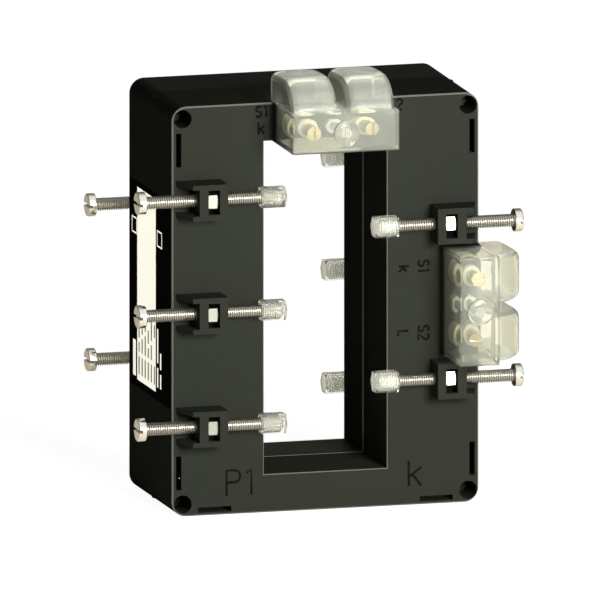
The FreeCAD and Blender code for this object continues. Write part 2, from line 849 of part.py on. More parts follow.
def coil(label, side):
    """The secondary's turns on one bobbin."""
    body = new_body(label)
    drawing = sketch(body, "XY_Plane")
    half_x, half_y = tube_half_x + coil_build, tube_half_y + coil_build
    shape = pad(rectangle(drawing, half_x * 2, half_y * 2), coil_half_length * 2, both_ways=True)
    fillet(shape, d.coil_corner, lambda b: near(b.XLength, 0) and near(b.YLength, 0))
    hole = rectangle(sketch(body, "XY_Plane", -coil_half_length), tube_half_x * 2, tube_half_y * 2)
    pocket(hole, coil_half_length * 2, forwards=True)
    put(body, leg_x * side, 0, half_height)


def lead(label, bend_plane, offset, start_plane, start_offset, points):
    """A wire along straight runs in one plane, from a circle on the plane that it starts at."""
    body = new_body(label)
    path = line(sketch(body, bend_plane, offset), points)
    along_x = start_plane == "YZ_Plane"
    first_x, first_y = points[0]
    if bend_plane == "XZ_Plane":
        centre = (-offset, first_y) if along_x else (first_x, -offset)
    else:
        centre = (first_y, offset)
    wire = body.newObject("PartDesign::AdditivePipe", "Wire")
    wire.Profile = circle(sketch(body, start_plane, start_offset), d.wire_radius, *centre)
    wire.Spine = (path, [f"Edge{number}" for number in range(1, len(points))])
    wire.Transition = "Right corner"


def leads():
    """From the coils' ends to the top inserts, from the right coil to the side ones, and the link."""
    inner_x = leg_x - d.wire_offset
    top_z = case_height - d.terminal_drop
    coil_top, coil_bottom = half_height + coil_half_length, half_height - coil_half_length
    for name, side in (("s1", -1), ("s2", 1)):
        x = inner_x * side
        route = [(x, coil_top), (x, top_z), (terminal_x * side, top_z)]
        lead(f"top_{name}_lead", "XZ_Plane", wire_plane, "XY_Plane", coil_top, route)
    insert_end = d.case_wall + d.insert_reach - half_depth
    coil_face = leg_x + tube_half_x + coil_build
    exit_y = -tube_half_y
    for name, step in (("s1", 1), ("s2", -1)):
        z = half_height + terminal_x * step
        route = [(coil_face, exit_y), (insert_x, exit_y), (insert_x, insert_end)]
        lead(f"side_{name}_lead", "XY_Plane", z, "YZ_Plane", coil_face, route)
    low_z = half_height - core_bar
    route = [(-inner_x, coil_bottom), (-inner_x, low_z), (inner_x, low_z), (inner_x, coil_bottom)]
    lead("coil_link", "XZ_Plane", wire_plane, "XY_Plane", coil_bottom, route)


def label():
    """The film on the left side, over the seam."""
    film = box(
        d.label_film,
        d.case_depth - d.label_margin * 2,
        d.label_height,
        -half_width - d.label_film,
        d.label_margin - half_depth,
        half_height + d.label_lift - d.label_height / 2,
    )
    piece(film, "side_label")


def check():
    """Stop unless every object was computed and every sub-part is a sound solid."""
    document.recompute()
    for item in document.Objects:
        if {"Invalid", "Error"} & set(item.State):
            raise RuntimeError(f"{item.Name} ({item.Label}) is {item.State}")
        if item.TypeId == "PartDesign::Pocket" and item.Shape.Volume >= item.BaseFeature.Shape.Volume:
            raise RuntimeError(f"{item.Name} cuts nothing")
    for item in pieces:
        shape = item.Shape
        if shape.isNull() or not shape.isValid() or not shape.Solids:
            raise RuntimeError(f"{item.Label} isn't a valid solid")
        if len(shape.Solids) > 1 and item.TypeId != "Part::Compound":
            raise RuntimeError(f"{item.Label} fell apart")


case()
joint_screws()
clamps()
terminals()
core()
bobbin("left_bobbin", -1)
bobbin("right_bobbin", 1)
coil("left_coil", -1)
coil("right_coil", 1)
leads()
label()
check()
os.makedirs("parts", exist_ok=True)
for item in pieces:
    item.Shape.exportStep(f"parts/{item.Label}.step")
print(f"{len(pieces)} sub-parts written")
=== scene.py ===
import bpy
from math import cos, pi, radians, sin
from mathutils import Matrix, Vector


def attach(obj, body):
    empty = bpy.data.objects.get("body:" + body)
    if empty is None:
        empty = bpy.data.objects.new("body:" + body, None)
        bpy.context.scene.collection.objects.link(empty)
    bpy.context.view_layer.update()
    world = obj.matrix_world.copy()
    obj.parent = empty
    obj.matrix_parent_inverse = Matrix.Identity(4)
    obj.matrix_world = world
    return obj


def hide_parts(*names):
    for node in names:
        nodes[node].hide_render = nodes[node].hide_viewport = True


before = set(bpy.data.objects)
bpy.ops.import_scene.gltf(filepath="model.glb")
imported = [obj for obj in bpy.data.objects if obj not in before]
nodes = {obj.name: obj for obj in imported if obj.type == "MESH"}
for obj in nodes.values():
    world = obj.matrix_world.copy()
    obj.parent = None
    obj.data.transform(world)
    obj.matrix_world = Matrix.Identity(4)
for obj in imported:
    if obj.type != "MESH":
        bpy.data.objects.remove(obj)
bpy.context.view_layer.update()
MM = 0.001

# The studio
# A white floor and surround, a soft lamp low in front, and a camera in parallel projection,
# fifteen degrees to the left of the front and eleven degrees above it.

VIEW_TURN, VIEW_RISE = radians(-15.32), radians(10.88)
VIEW_MIDDLE = Vector((-7.949, -24.65, 64.758)) * MM
VIEW_WIDTH = 181.1 * MM
FLOOR_RADIUS = 1600 * MM
WHITE = (1.0, 1.0, 1.0, 1.0)


def new_material(name):
    """An empty material, and ways to add its nodes and to link them."""
    material = bpy.data.materials.new(name)
    material.use_nodes = True
    material.node_tree.nodes.clear()
    return material, material.node_tree.nodes, material.node_tree.links


def add_math(made, operation, *values):
    """A maths node, with the plain values that follow its linked one."""
    node = made.new("ShaderNodeMath")
    node.operation = operation
    for socket, value in zip(node.inputs[1:], values):
        socket.default_value = value
    return node


def add_range(made, low, high, new_low, new_high):
    """A node that maps one range of values to another."""
    node = made.new("ShaderNodeMapRange")
    node.inputs["From Min"].default_value = low
    node.inputs["From Max"].default_value = high
    node.inputs["To Min"].default_value = new_low
    node.inputs["To Max"].default_value = new_high
    return node


def background_share(owner, mirrored):
    """One for a ray from the camera or through clear plastic, a given share for a mirrored one,
    and none for light that a matt surface has scattered."""
    path = owner.nodes.new("ShaderNodeLightPath")
    direct = add_math(owner.nodes, "MAXIMUM")
    mirror = add_math(owner.nodes, "MULTIPLY")
    either = add_math(owner.nodes, "MAXIMUM")
    unscattered = add_math(owner.nodes, "LESS_THAN", 0.5)
    share = add_math(owner.nodes, "MULTIPLY")
    owner.links.new(path.outputs["Is Camera Ray"], direct.inputs[0])
    owner.links.new(path.outputs["Is Transmission Ray"], direct.inputs[1])
    owner.links.new(path.outputs["Is Glossy Ray"], mirror.inputs[0])
    owner.links.new(mirrored, mirror.inputs[1])
    owner.links.new(direct.outputs[0], either.inputs[0])
    owner.links.new(mirror.outputs[0], either.inputs[1])
    owner.links.new(path.outputs["Diffuse Depth"], unscattered.inputs[0])
    owner.links.new(either.outputs[0], share.inputs[0])
    owner.links.new(unscattered.outputs[0], share.inputs[1])
    return share.outputs[0]


def face_view(item, place):
    """Turn a lamp or the camera at a place towards the middle of the view."""
    item.location = place
    item.rotation_euler = (VIEW_MIDDLE - place).to_track_quat("-Z", "Y").to_euler()


scene = bpy.context.scene
scene.view_settings.view_transform = "Standard"

surround = bpy.data.worlds.new("studio_surround")
scene.world = surround
surround.use_nodes = True
tree = surround.node_tree
tree.nodes.clear()
output = tree.nodes.new("ShaderNodeOutputWorld")
white_light = tree.nodes.new("ShaderNodeBackground")
white_light.inputs["Color"].default_value = WHITE

# Mirrored in metal, the surround and the floor are bright in front, and dim at the sides and rear
direction = tree.nodes.new("ShaderNodeTexCoord")
towards_key = tree.nodes.new("ShaderNodeVectorMath")
towards_key.operation = "DOT_PRODUCT"
towards_key.inputs[1].default_value = (0.1, -0.6, 0.79)
graded = add_range(tree.nodes, 0.15, 0.95, 0.2, 1.1)
graded.interpolation_type = "SMOOTHSTEP"
at_least = add_math(tree.nodes, "MAXIMUM", 0.03)
tree.links.new(direction.outputs["Generated"], towards_key.inputs[0])
tree.links.new(towards_key.outputs["Value"], graded.inputs["Value"])
tree.links.new(background_share(tree, graded.outputs["Result"]), at_least.inputs[0])
tree.links.new(at_least.outputs[0], white_light.inputs["Strength"])
tree.links.new(white_light.outputs[0], output.inputs["Surface"])

bpy.ops.object.select_all(action="DESELECT")
bpy.ops.mesh.primitive_circle_add(
    vertices=64, radius=FLOOR_RADIUS, fill_type="NGON", location=(0, 0, -0.1 * MM)
)
floor = bpy.context.object
floor.name = "studio_floor"
paper, paper_nodes, paper_links = new_material("floor_paper")
output = paper_nodes.new("ShaderNodeOutputMaterial")
matt = paper_nodes.new("ShaderNodeBsdfDiffuse")
matt.inputs["Color"].default_value = (0.92, 0.92, 0.92, 1.0)
lit = paper_nodes.new("ShaderNodeEmission")
lit.inputs["Strength"].default_value = 0.95
place = paper_nodes.new("ShaderNodeNewGeometry")
split = paper_nodes.new("ShaderNodeSeparateXYZ")
front_part = add_range(paper_nodes, 0.03, -0.06, 0.45, 0.95)
paper_links.new(place.outputs["Position"], split.inputs[0])
paper_links.new(split.outputs["Y"], front_part.inputs["Value"])

# What metal mirrors of the floor close under the part is a little warm
is_mirrored = paper_nodes.new("ShaderNodeLightPath")
under_part = add_range(paper_nodes, -0.12, -0.03, 0.0, 1.0)
tint = add_math(paper_nodes, "MULTIPLY")
mirrored_paper = paper_nodes.new("ShaderNodeMix")
mirrored_paper.data_type = "RGBA"
mirrored_paper.inputs["A"].default_value = WHITE
mirrored_paper.inputs["B"].default_value = (1.0, 0.86, 0.72, 1.0)
paper_links.new(split.outputs["Y"], under_part.inputs["Value"])
paper_links.new(under_part.outputs["Result"], tint.inputs[0])
paper_links.new(is_mirrored.outputs["Is Glossy Ray"], tint.inputs[1])
paper_links.new(tint.outputs[0], mirrored_paper.inputs["Factor"])
paper_links.new(mirrored_paper.outputs["Result"], lit.inputs["Color"])
both = paper_nodes.new("ShaderNodeAddShader")
plain = paper_nodes.new("ShaderNodeMixShader")
paper_links.new(matt.outputs[0], both.inputs[0])
paper_links.new(lit.outputs[0], both.inputs[1])
share = background_share(paper.node_tree, front_part.outputs["Result"])
paper_links.new(share, plain.inputs["Fac"])
paper_links.new(matt.outputs[0], plain.inputs[1])
paper_links.new(both.outputs[0], plain.inputs[2])
paper_links.new(plain.outputs[0], output.inputs["Surface"])
floor.data.materials.append(paper)


def soft_lamp(name, turn, rise, width, power):
    """A square lamp one metre off, by its turn from the front and its rise, facing the part."""
    bpy.ops.object.light_add(type="AREA")
    lamp = bpy.context.object
    lamp.name = name
    lamp.data.shape = "SQUARE"
    lamp.data.size = width
    lamp.data.energy = power
    lamp.data.color = (1.0, 0.985, 0.95)
    turn, rise = radians(turn), radians(rise)
    away = Vector((sin(turn) * cos(rise), -cos(turn) * cos(rise), sin(rise)))
    face_view(lamp, VIEW_MIDDLE + away)
    return lamp


soft_lamp("front_softbox", turn=10, rise=14, width=0.3, power=8.0)

bpy.ops.object.camera_add()
camera = bpy.context.object
camera.name = "photo_camera"
camera.data.type = "ORTHO"
camera.data.ortho_scale = VIEW_WIDTH
camera.data.clip_end = 10
back = Vector((sin(VIEW_TURN) * cos(VIEW_RISE), -cos(VIEW_TURN) * cos(VIEW_RISE), sin(VIEW_RISE)))
face_view(camera, VIEW_MIDDLE + back * 0.9)
scene.camera = camera

# The case
# Two halves of black flame retardant plastic, injection moulded with a fine spark-eroded
# grain, and lapped and screwed together at a seam behind the middle.


def place_pattern(owner, kind):
    """A texture node on Object coordinates."""
    coordinates = owner.nodes.new("ShaderNodeTexCoord")
    texture = owner.nodes.new(kind)
    owner.links.new(coordinates.outputs["Object"], texture.inputs["Vector"])
    return texture


# Fine even grain, with broad faint changes of tone as moulded or plated surfaces have them
mottle = bpy.data.node_groups.new("mottled_surface", "ShaderNodeTree")
for socket, side, kind in (
    ("Base", "INPUT", "NodeSocketColor"),
    ("Other", "INPUT", "NodeSocketColor"),
    ("Cloud", "INPUT", "NodeSocketFloat"),
    ("Grain", "INPUT", "NodeSocketFloat"),
    ("Tone", "OUTPUT", "NodeSocketColor"),
    ("Patch", "OUTPUT", "NodeSocketFloat"),
    ("Height", "OUTPUT", "NodeSocketFloat"),
):
    mottle.interface.new_socket(socket, in_out=side, socket_type=kind)
mottle_in = mottle.nodes.new("NodeGroupInput")
mottle_out = mottle.nodes.new("NodeGroupOutput")
cloud = place_pattern(mottle, "ShaderNodeTexNoise")
cloud.inputs["Detail"].default_value = 4.0
grain = place_pattern(mottle, "ShaderNodeTexNoise")
grain.inputs["Detail"].default_value = 1.0
blend = mottle.nodes.new("ShaderNodeMix")
blend.data_type = "RGBA"
mottle.links.new(mottle_in.outputs["Cloud"], cloud.inputs["Scale"])
mottle.links.new(mottle_in.outputs["Grain"], grain.inputs["Scale"])
mottle.links.new(cloud.outputs["Fac"], blend.inputs["Factor"])
mottle.links.new(mottle_in.outputs["Base"], blend.inputs["A"])
mottle.links.new(mottle_in.outputs["Other"], blend.inputs["B"])
mottle.links.new(blend.outputs["Result"], mottle_out.inputs["Tone"])
mottle.links.new(cloud.outputs["Fac"], mottle_out.inputs["Patch"])
mottle.links.new(grain.outputs["Fac"], mottle_out.inputs["Height"])


def mottled(
    name, base, other, rough, cloud=60.0, grain=2500.0, depth=0.02, bump=0.15, metal=0.0, gleam=0.5
):
    """A material with a mottled colour, a roughness that changes with it, and a fine grain."""
    material, made, links = new_material(name)
    output = made.new("ShaderNodeOutputMaterial")
    surface = made.new("ShaderNodeBsdfPrincipled")
    surface.inputs["Metallic"].default_value = metal
    surface.inputs["Specular IOR Level"].default_value = gleam
    skin = made.new("ShaderNodeGroup")
    skin.node_tree = mottle
    skin.inputs["Base"].default_value = (*base, 1.0)
    skin.inputs["Other"].default_value = (*other, 1.0)
    skin.inputs["Cloud"].default_value = cloud
    skin.inputs["Grain"].default_value = grain
    sheen = add_range(made, 0.0, 1.0, *rough)
    relief = made.new("ShaderNodeBump")
    relief.inputs["Strength"].default_value = bump
    relief.inputs["Distance"].default_value = depth * MM
    links.new(skin.outputs["Tone"], surface.inputs["Base Color"])
    links.new(skin.outputs["Patch"], sheen.inputs["Value"])
    links.new(sheen.outputs["Result"], surface.inputs["Roughness"])
    links.new(skin.outputs["Height"], relief.inputs["Height"])
    links.new(relief.outputs["Normal"], surface.inputs["Normal"])
    links.new(surface.outputs[0], output.inputs["Surface"])
    return material


def node_of(material, kind):
    """The one node of its kind in a material."""
    return next(node for node in material.node_tree.nodes if node.type == kind)


def dress(material, *names):
    """Give CAD nodes a material."""
    for name in names:
        nodes[name].data.materials.clear()
        nodes[name].data.materials.append(material)


def select_only(piece):
    """Select one piece, with all else deselected, and make it the active one."""
    bpy.ops.object.select_all(action="DESELECT")
    piece.select_set(True)
    bpy.context.view_layer.objects.active = piece


def close_seams(piece):
    """Join what lies on one place, and turn all faces outwards."""
    select_only(piece)
    bpy.ops.object.mode_set(mode="EDIT")
    bpy.ops.mesh.select_all(action="SELECT")
    bpy.ops.mesh.remove_doubles(threshold=0.003 * MM)
    bpy.ops.mesh.normals_make_consistent(inside=False)
    bpy.ops.object.mode_set(mode="OBJECT")


black = mottled(
    "black_moulding", (0.043, 0.055, 0.044), (0.058, 0.055, 0.044), (0.48, 0.62), cloud=14.0,
    bump=0.25, gleam=0.0,
)

# The narrow bevels round the faces are painted paler than the face, a painted highlight where they
# would catch the light
made, links = black.node_tree.nodes, black.node_tree.links
surface = node_of(black, "BSDF_PRINCIPLED")
normal = made.new("ShaderNodeNewGeometry")
towards_face = made.new("ShaderNodeVectorMath")
towards_face.operation = "DOT_PRODUCT"
towards_face.inputs[1].default_value = (0, 1, 0)
slant = add_math(made, "ABSOLUTE")
is_bevel = add_math(made, "COMPARE", 0.707, 0.06)
bevel_highlight = made.new("ShaderNodeMix")
bevel_highlight.data_type = "RGBA"
bevel_highlight.inputs["B"].default_value = (0.30, 0.30, 0.27, 1.0)
links.new(normal.outputs["True Normal"], towards_face.inputs[0])
links.new(towards_face.outputs["Value"], slant.inputs[0])
links.new(slant.outputs[0], is_bevel.inputs[0])
links.new(is_bevel.outputs[0], bevel_highlight.inputs["Factor"])
links.new(surface.inputs["Base Color"].links[0].from_socket, bevel_highlight.inputs["A"])
links.new(bevel_highlight.outputs["Result"], surface.inputs["Base Color"])
dress(black, "front_case", "rear_case")

# At the seam a thin pale strip round the window's wall is a painted highlight, the fine pale line
# where the seam's edge would catch the light
WINDOW_WIDTH, WINDOW_HEIGHT, MIDDLE_RISE = 38.5, 102.4, 62.95
SEAM_PLACE, STRIP_WIDTH, STRIP_HEIGHT = 2.35, 0.5, 0.03
bpy.ops.object.select_all(action="DESELECT")
bpy.ops.mesh.primitive_plane_add(
    size=1, location=(0, SEAM_PLACE * MM, MIDDLE_RISE * MM), rotation=(pi / 2, 0, 0)
)
seam_highlight_strip = bpy.context.object
seam_highlight_strip.name = "window_seam_highlight"
seam_highlight_strip.scale = (WINDOW_WIDTH * MM, WINDOW_HEIGHT * MM, 1)
bpy.ops.object.transform_apply(location=True, rotation=True, scale=True)
bpy.ops.object.mode_set(mode="EDIT")
bpy.ops.mesh.select_all(action="SELECT")
bpy.ops.mesh.inset(thickness=STRIP_HEIGHT * MM, depth=0)
bpy.ops.mesh.delete(type="FACE")
bpy.ops.mesh.select_all(action="SELECT")
bpy.ops.mesh.extrude_region_move(TRANSFORM_OT_translate={"value": (0, STRIP_WIDTH * MM, 0)})
bpy.ops.object.mode_set(mode="OBJECT")
close_seams(seam_highlight_strip)
seam_highlight = mottled("painted_seam_highlight", (0.50, 0.50, 0.45), (0.56, 0.56, 0.51), (0.3, 0.4))
seam_highlight_strip.data.materials.append(seam_highlight)
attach(seam_highlight_strip, "case")

# The marks on the faces
# Terminal and primary marks in fine plain letters. They stand up on the mould, so that they are
# cut into the face; they are drawn as thin near-black strokes on the face, painted shade for the
# grooves.

groove_shade = mottled(
    "mark_groove_shade", (0.009, 0.009, 0.008), (0.013, 0.013, 0.012), (0.7, 0.8), gleam=0.05
)
FRONT_FACE, REAR_FACE = -24.65, 24.65


def arc(x, y, radius, start, end):
    """Points along an arc, by its angles in degrees."""
    turns = [radians(start + (end - start) * step / 12) for step in range(13)]
    return [(x + radius * cos(turn), y + radius * sin(turn)) for turn in turns]


# Strokes of each letter, one unit high, and the width that it takes
STROKES = {
    "P": (0.56, [[(0, 0), (0, 1), (0.31, 1), *arc(0.32, 0.76, 0.24, 90, -90), (0, 0.52)]]),
    "1": (0.2, [[(0, 0.87), (0.2, 1), (0.2, 0)]]),
    "2": (0.54, [[*arc(0.27, 0.75, 0.25, 165, -40), (0, 0), (0.54, 0)]]),
    "S": (0.52, [[*arc(0.27, 0.76, 0.24, 25, 270), *arc(0.26, 0.26, 0.26, 90, -155)]]),
    "k": (0.5, [[(0, 0), (0, 1)], [(0.5, 0.72), (0, 0.36)], [(0.14, 0.46), (0.5, 0)]]),
    "L": (0.46, [[(0, 1), (0, 0), (0.46, 0)]]),
}
STROKE_WIDTH, LETTER_SPACE, STROKE_FLATNESS = 0.75, 0.26, 0.1


def mark(name, words, x, z, height, turn, front=True):
    """Single-stroke letters on a face, centred at x and z from its middle, turned clockwise."""
    curve = bpy.data.curves.new(name, "CURVE")
    curve.dimensions = "3D"
    curve.bevel_depth = STROKE_WIDTH / 2 * MM
    curve.bevel_resolution = 3
    curve.use_fill_caps = True
    tall = height - STROKE_WIDTH
    left = -(sum(STROKES[letter][0] for letter in words) + LETTER_SPACE * (len(words) - 1)) / 2
    for letter in words:
        width, strokes = STROKES[letter]
        for stroke in strokes:
            spline = curve.splines.new("POLY")
            spline.points.add(len(stroke) - 1)
            for point, (across, up) in zip(spline.points, stroke):
                point.co = ((left + across) * tall * MM, (up - 0.5) * tall * MM, 0, 1)
        left += width + LETTER_SPACE
    letters = bpy.data.objects.new(name, curve)
    scene.collection.objects.link(letters)
    select_only(letters)
    bpy.ops.object.convert(target="MESH")
    letters = bpy.context.object
    close_seams(letters)
    letters.scale = (1, 1, STROKE_FLATNESS)
    bpy.ops.object.transform_apply(location=True, rotation=True, scale=True)
    face = FRONT_FACE if front else REAR_FACE
    letters.rotation_euler = (pi / 2, radians(turn), 0 if front else pi)
    letters.location = Vector((x, face, MIDDLE_RISE + z)) * MM
    bpy.ops.object.transform_apply(location=True, rotation=True, scale=True)
    letters.data.materials.append(groove_shade)
    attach(letters, "case")


for name, words, x, z, height, turn in (
    ("top_s1_mark", "S1", -20.15, 60.3, 4.0, 0),
    ("top_k_mark", "k", -20.0, 55.2, 4.4, 0),
    ("top_s2_mark", "S2", 21.9, 60.4, 4.0, 0),
    ("primary_mark", "P1", -27.04, -53.3, 8.4, 0),
    ("primary_k_mark", "k", 28.04, -53.2, 8.6, 0),
    ("side_s1_mark", "S1", 30.7, 10.45, 4.0, 90),
    ("side_k_mark", "k", 24.6, 9.68, 4.0, 90),
    ("side_s2_mark", "S2", 30.7, -10.14, 4.0, 90),
    ("side_l_mark", "L", 24.4, -10.13, 4.0, 90),
):
    mark(name, words, x, z, height, turn)
mark("rear_primary_mark", "P2", 27.04, -53.3, 8.4, 0, front=False)
mark("rear_l_mark", "L", -28.04, -53.2, 8.6, 0, front=False)

# The core
# Silicon steel strip, wound into a tall ring round the window and annealed, so that its
# edges show as fine lines.

steel = mottled(
    "wound_strip", (0.22, 0.23, 0.25), (0.33, 0.33, 0.32), (0.35, 0.5), cloud=90.0, grain=1200.0,
    metal=1.0,
)
dress(steel, "core")

# The bobbins and coils
# A square tube of natural nylon on each long side of the core, and enamelled copper wire
# wound on it in even layers.

nylon = mottled("natural_nylon", (0.55, 0.52, 0.43), (0.62, 0.59, 0.5), (0.4, 0.55))
dress(nylon, "left_bobbin", "right_bobbin")

copper = mottled(
    "enamelled_copper", (0.45, 0.13, 0.045), (0.6, 0.22, 0.08), (0.25, 0.4), cloud=200.0,
    metal=0.85,
)
turns = place_pattern(copper.node_tree, "ShaderNodeTexWave")
turns.bands_direction = "Z"
turns.inputs["Scale"].default_value = 330.0
relief = node_of(copper, "BUMP")
relief.inputs["Strength"].default_value = 0.8
relief.inputs["Distance"].default_value = 0.2 * MM
copper.node_tree.links.new(turns.outputs["Fac"], relief.inputs["Height"])
dress(copper, "left_coil", "right_coil")

# The leads and inserts
# Insulated wires run from the coils to brass inserts, which are pressed through the front
# wall behind each terminal.

wire_cover = mottled("red_wire_cover", (0.45, 0.03, 0.02), (0.52, 0.05, 0.03), (0.3, 0.4))
dress(wire_cover, "top_s1_lead", "top_s2_lead", "side_s1_lead", "side_s2_lead", "coil_link")

brass = mottled(
    "turned_brass", (0.42, 0.32, 0.17), (0.49, 0.39, 0.23), (0.22, 0.36), cloud=400.0,
    grain=4000.0, metal=1.0,
)
dress(brass, "terminal_inserts", "terminal_screws")

# The screws that join the halves
# Blackened steel pan head screws on the floors of the four corner recesses, driven from the
# front through one half into the other.

blackened = mottled(
    "blackened_steel", (0.035, 0.035, 0.034), (0.06, 0.06, 0.057), (0.35, 0.5), cloud=500.0,
    metal=1.0,
)
dress(blackened, "case_screws")

# The clamp brackets
# Plug-in blocks of the same black plastic, two sloping flanges and a slotted pocket, each
# with a nickel plated M4 nut that shows in its window.

THREE_ROWS = (("top", 34.8), ("middle", 0.0), ("bottom", -34.8))
TWO_ROWS = (("top", 23.8), ("bottom", -23.8))
CLAMPS = []
for face, front in (("front", 1), ("rear", -1)):
    for side, outwards in (("left", -1), ("right", 1)):
        for row, rise in THREE_ROWS if front != outwards else TWO_ROWS:
            CLAMPS.append((f"{face}_{side}_{row}", outwards, front, rise))

# A clamp's turn by its side and face, and how far its axis lies from the case's middle
TURNS = {(1, 1): (0, 0, 0), (-1, 1): (0, pi, 0), (-1, -1): (0, 0, pi), (1, -1): (pi, 0, 0)}
CLAMP_REACH = 28.65

dress(black, *(f"{name}_bracket" for name, _, _, _ in CLAMPS))


def shine_on(name, lamps, pieces, unshaded=False):
    """Let lamps light only these pieces, and keep other pieces from shading them if asked."""
    lit_pieces = bpy.data.collections.new(name)
    for piece in pieces:
        lit_pieces.objects.link(piece)
    for lamp in lamps:
        lamp.light_linking.receiver_collection = lit_pieces
        if unshaded:
            lamp.light_linking.blocker_collection = lit_pieces


# A lamp low behind shows the black rear face and its brackets
rear_mouldings = [nodes["rear_case"]]
rear_mouldings += [nodes[f"{name}_bracket"] for name, _, front, _ in CLAMPS if front < 0]
rear_softbox = soft_lamp("rear_softbox", turn=165, rise=8, width=0.3, power=8.0)
shine_on("rear_mouldings", [rear_softbox], rear_mouldings)

nickel = mottled(
    "nickel_plate", (0.72, 0.70, 0.60), (0.80, 0.78, 0.68), (0.12, 0.2), cloud=500.0,
    grain=5000.0, metal=1.0,
)

# Between a thread's crests the nickel is darker and less metallic, painted shade in the thread's
# roots and flanks
thread_root_shade = mottled(
    "nickel_root_shade", (0.36, 0.34, 0.28), (0.44, 0.42, 0.35), (0.35, 0.5), cloud=900.0,
    grain=5000.0, metal=0.6,
)

# The clamp screws
# Nickel plated M4 cheese head screws with a rolled thread right up to the head. One is made
# in the clamp's own place, X outwards from the window, and copied to the ten clamps.

SCREW_TIP, SCREW_SHOULDER, SCREW_END, HEAD_RADIUS = 15.5, 57.7, 60.2, 3.5
PITCH, CREST, ROOT = 0.7, 1.99, 1.56


def turned(*profile, steps=64):
    """A closed lathed piece about X, from points on the axis at both ends and radii between."""
    mesh = bpy.data.meshes.new("profile")
    points = [Vector((along, radius, 0)) * MM for along, radius in profile]
    mesh.from_pydata(points, [(i, i + 1) for i in range(len(points) - 1)], [])
    piece = bpy.data.objects.new("turned", mesh)
    scene.collection.objects.link(piece)
    apply(
        piece, "SCREW", axis="X", steps=steps, render_steps=steps, use_merge_vertices=True,
        merge_threshold=0.001 * MM,
    )
    close_seams(piece)
    return piece


def apply(piece, kind, **values):
    """Add a modifier with its values, and apply it."""
    bpy.context.view_layer.objects.active = piece
    modifier = piece.modifiers.new(kind, kind)
    for name, value in values.items():
        setattr(modifier, name, value)
    bpy.ops.object.modifier_apply(modifier=modifier.name)


def join(*pieces):
    """Make one object of several."""
    bpy.ops.object.select_all(action="DESELECT")
    for piece in pieces:
        piece.select_set(True)
    bpy.context.view_layer.objects.active = pieces[0]
    bpy.ops.object.join()
    return bpy.context.object


def rolled_thread(start, end, crest, root, pitch, steps=24):
    """A threaded shell along X, from one tooth wound round the axis and cut off at both ends."""
    bpy.ops.object.select_all(action="DESELECT")
    bpy.ops.mesh.primitive_circle_add(vertices=5, radius=MM)
    tooth = bpy.context.object
    profile = ((0.125, root), (0.44, crest), (0.56, crest), (0.875, root), (1.125, root))
    low = start - pitch * 1.2
    for vertex, (along, radius) in zip(tooth.data.vertices, profile):
        vertex.co = Vector((low + along * pitch, radius, 0)) * MM
    ends = {0, len(profile) - 1}
    bpy.ops.object.mode_set(mode="EDIT")
    bpy.ops.mesh.select_mode(type="EDGE")
    bpy.ops.mesh.select_all(action="DESELECT")
    bpy.ops.object.mode_set(mode="OBJECT")
    for edge in tooth.data.edges:
        edge.select = set(edge.vertices) == ends
    bpy.ops.object.mode_set(mode="EDIT")
    bpy.ops.mesh.delete(type="EDGE")
    bpy.ops.object.mode_set(mode="OBJECT")
    apply(
        tooth, "SCREW", axis="X", angle=2 * pi, screw_offset=pitch * MM, steps=steps,
        render_steps=steps, iterations=int((end - start) / pitch) + 3, use_merge_vertices=True,
        merge_threshold=0.001 * MM, use_smooth_shade=True,
    )
    close_seams(tooth)
    bpy.ops.object.mode_set(mode="EDIT")
    bpy.ops.mesh.select_mode(type="VERT")
    for place, side in ((start, -1), (end, 1)):
        bpy.ops.mesh.select_all(action="SELECT")
        bpy.ops.mesh.bisect(
            plane_co=(place * MM, 0, 0), plane_no=(side, 0, 0), use_fill=True, clear_outer=True,
            threshold=0.0001 * MM,
        )
    bpy.ops.mesh.select_all(action="SELECT")
    bpy.ops.mesh.normals_make_consistent(inside=False)
    bpy.ops.object.mode_set(mode="OBJECT")
    return tooth


def smooth(piece, angle):
    """Shade a piece smoothly, apart from edges sharper than an angle in degrees."""
    select_only(piece)
    bpy.ops.object.shade_smooth_by_angle(angle=radians(angle))


def cut_slot(head, end, width, depth, reach):
    """Cut a slot across the end of a bar along X, open towards the front and the rear."""
    bpy.ops.object.select_all(action="DESELECT")
    bpy.ops.mesh.primitive_cube_add(size=1, location=((end + 0.5 - depth / 2) * MM, 0, 0))
    cutter = bpy.context.object
    cutter.scale = ((depth + 1) * MM, reach * MM, width * MM)
    apply(head, "BOOLEAN", operation="DIFFERENCE", object=cutter, solver="EXACT")
    bpy.data.objects.remove(cutter)


thread = rolled_thread(SCREW_TIP + 0.35, SCREW_SHOULDER + 0.1, CREST, ROOT, PITCH)
point = turned(
    (SCREW_TIP, 0), (SCREW_TIP, 1.3), (SCREW_TIP + 0.1, 1.45), (SCREW_TIP + 0.25, ROOT),
    (SCREW_TIP + 0.7, ROOT), (SCREW_TIP + 0.7, 0),
)
head = turned(
    (SCREW_SHOULDER, 0), (SCREW_SHOULDER, HEAD_RADIUS - 0.15),
    (SCREW_SHOULDER + 0.15, HEAD_RADIUS), (SCREW_END - 0.45, HEAD_RADIUS),
    (SCREW_END - 0.27, HEAD_RADIUS - 0.04), (SCREW_END - 0.13, HEAD_RADIUS - 0.13),
    (SCREW_END - 0.04, HEAD_RADIUS - 0.27), (SCREW_END, HEAD_RADIUS - 0.45), (SCREW_END, 0),
)
cut_slot(head, SCREW_END, width=1.0, depth=1.1, reach=9.0)
for piece in (thread, point, head):
    piece.data.materials.append(nickel)
    piece.data.materials.append(thread_root_shade)
# Faces below the crests take the painted root shade
for face in thread.data.polygons:
    radii = [Vector((0, *thread.data.vertices[i].co[1:])).length for i in face.vertices]
    face.material_index = int(min(radii) < (CREST - 0.1) * MM and len(radii) == 4)
screw = join(thread, point, head)
smooth(screw, angle=35)


